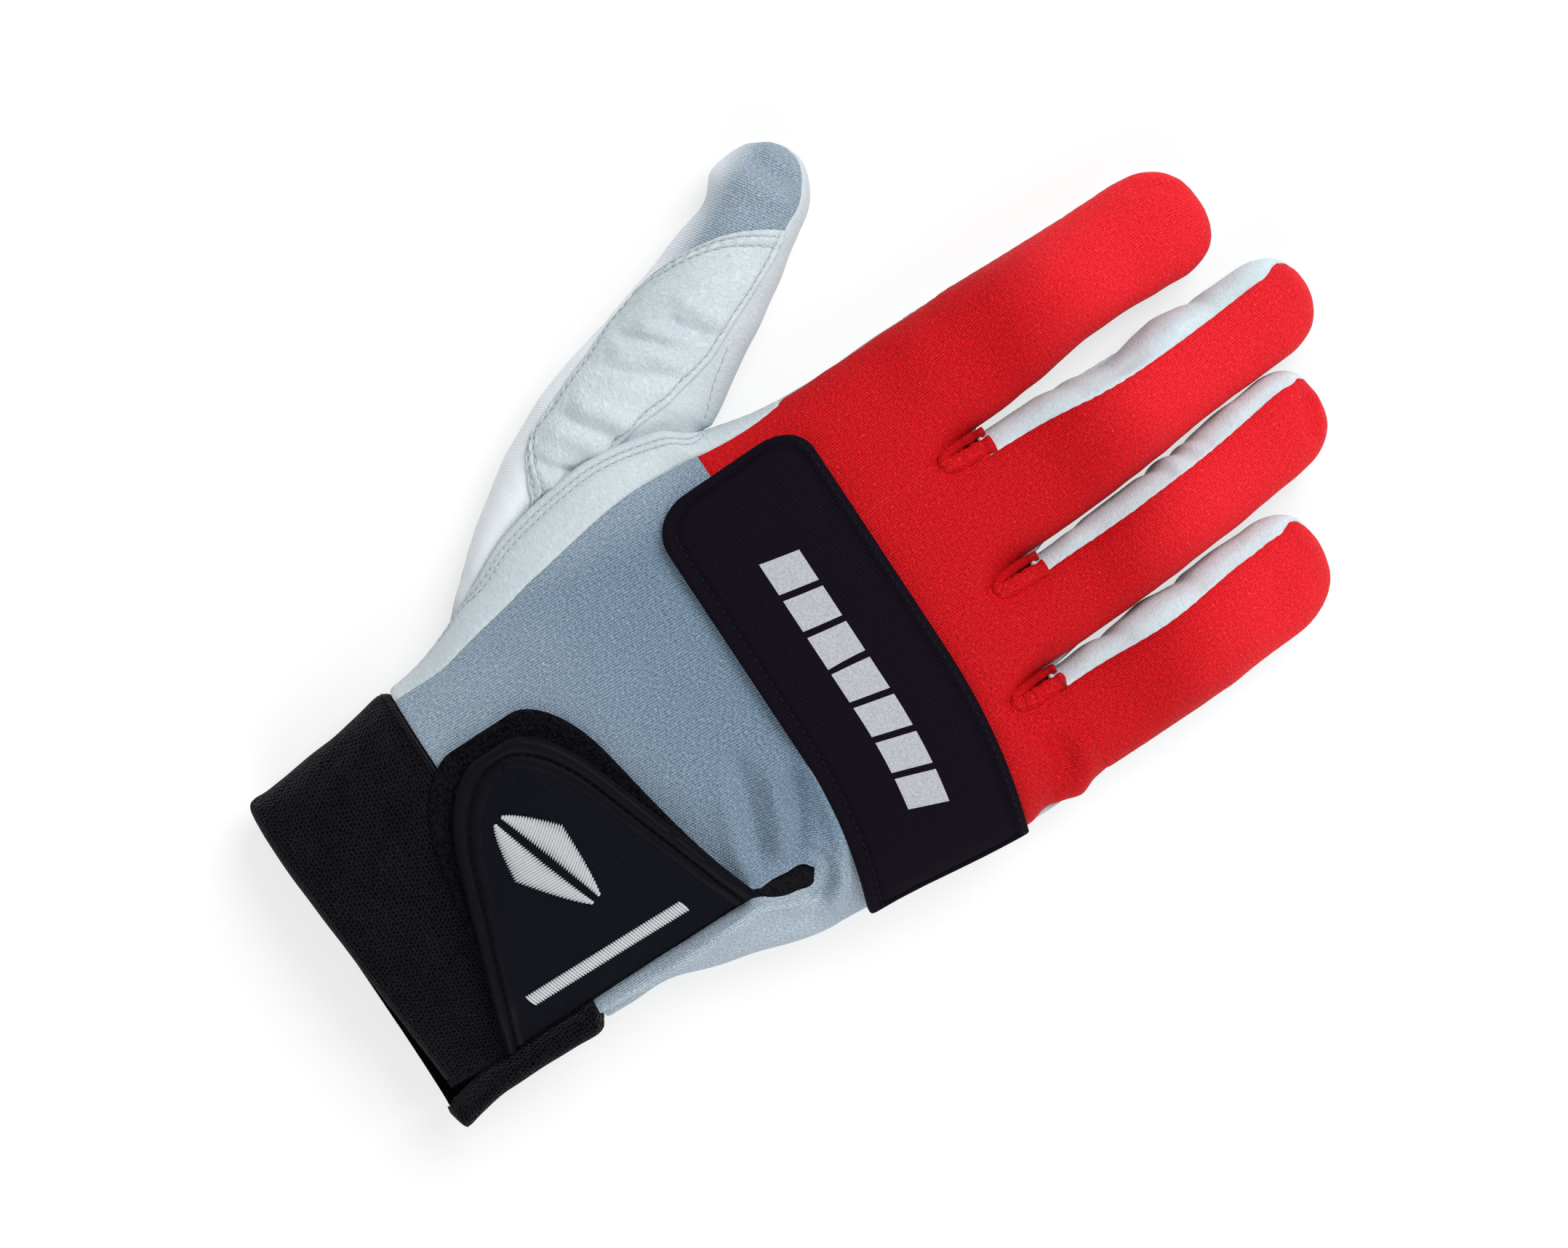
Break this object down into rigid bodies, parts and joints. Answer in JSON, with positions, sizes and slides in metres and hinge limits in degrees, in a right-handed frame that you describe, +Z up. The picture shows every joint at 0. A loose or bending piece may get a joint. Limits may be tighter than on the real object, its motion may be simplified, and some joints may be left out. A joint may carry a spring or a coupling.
{
  "type": "sports glove",
  "caption": "Right-hand full-finger sports glove with a leather palm, stretch-knit back, padded knuckle band, elastic cuff and a hook-and-loop wrist tab.",
  "frame": {"origin": "on the palm's flat underside, under the middle finger's line and midway between the wrist and the finger roots", "axes": "+Y towards the fingertips, +X towards the little finger, +Z up through the back of the hand"},
  "size_m": [0.1575, 0.2505, 0.033],
  "materials": {
    "red_knit": "bright red stretch knit with a light sheen",
    "blue_knit": "blue-grey shimmering stretch knit",
    "leather": "soft white fine-grained leather",
    "band_jersey": "matte black jersey over foam",
    "elastic": "black knitted elastic",
    "loop_pile": "fuzzy black loop pile",
    "twill": "navy-black twill",
    "satin": "black satin piping",
    "hook_tape": "black hook tape"
  },
  "bodies": {
    "hand": {"palm": "leather", "radial_strip": "leather", "hand_back": "blue_knit", "ulnar_panel": "blue_knit", "knuckle_panel": "red_knit", "knuckle_band": "band_jersey", "crotch_tucks": "red_knit", "cuff_elastic": "elastic", "slit_binding": "elastic", "loop_patch": "loop_pile", "thumb_base_back": "blue_knit", "thumb_base_overlay": "leather", "thumb_base_front": "leather"},
    "index": {"index_back": "red_knit", "index_front": "leather", "index_wall": "leather"},
    "middle": {"middle_back": "red_knit", "middle_front": "leather", "middle_wall_inner": "leather", "middle_wall_outer": "leather"},
    "ring": {"ring_back": "red_knit", "ring_front": "leather", "ring_wall_inner": "leather", "ring_wall_outer": "leather"},
    "little": {"little_back": "red_knit", "little_front": "leather", "little_wall": "leather"},
    "thumb": {"thumb_back": "blue_knit", "thumb_overlay": "leather", "thumb_front": "leather"},
    "closure_tab": {"tab_face": "twill", "tab_piping": "satin", "hook_pad": "hook_tape"}
  },
  "joints": [
    {"name": "tab_peel", "type": "hinge", "parent": "hand", "child": "closure_tab", "pos_m": [0.04, -0.06825, 0.02651], "axis": [0, 0.997, 0.0775], "range_deg": [0, 140]},
    {"name": "index_flex", "type": "hinge", "parent": "hand", "child": "index", "pos_m": [-0.0289, 0.058, 0], "axis": [-1, 0, 0], "range_deg": [0, 70]},
    {"name": "middle_flex", "type": "hinge", "parent": "hand", "child": "middle", "pos_m": [0, 0.057, 0], "axis": [-1, 0, 0], "range_deg": [0, 70]},
    {"name": "ring_flex", "type": "hinge", "parent": "hand", "child": "ring", "pos_m": [0.0254, 0.052, 0], "axis": [-1, 0, 0], "range_deg": [0, 70]},
    {"name": "little_flex", "type": "hinge", "parent": "hand", "child": "little", "pos_m": [0.04945, 0.042, 0], "axis": [-1, 0, 0], "range_deg": [0, 70]},
    {"name": "thumb_flex", "type": "hinge", "parent": "hand", "child": "thumb", "pos_m": [-0.05994, 0.00434, 0], "axis": [-0.8988, -0.4384, 0], "range_deg": [0, 55]}
  ]
}
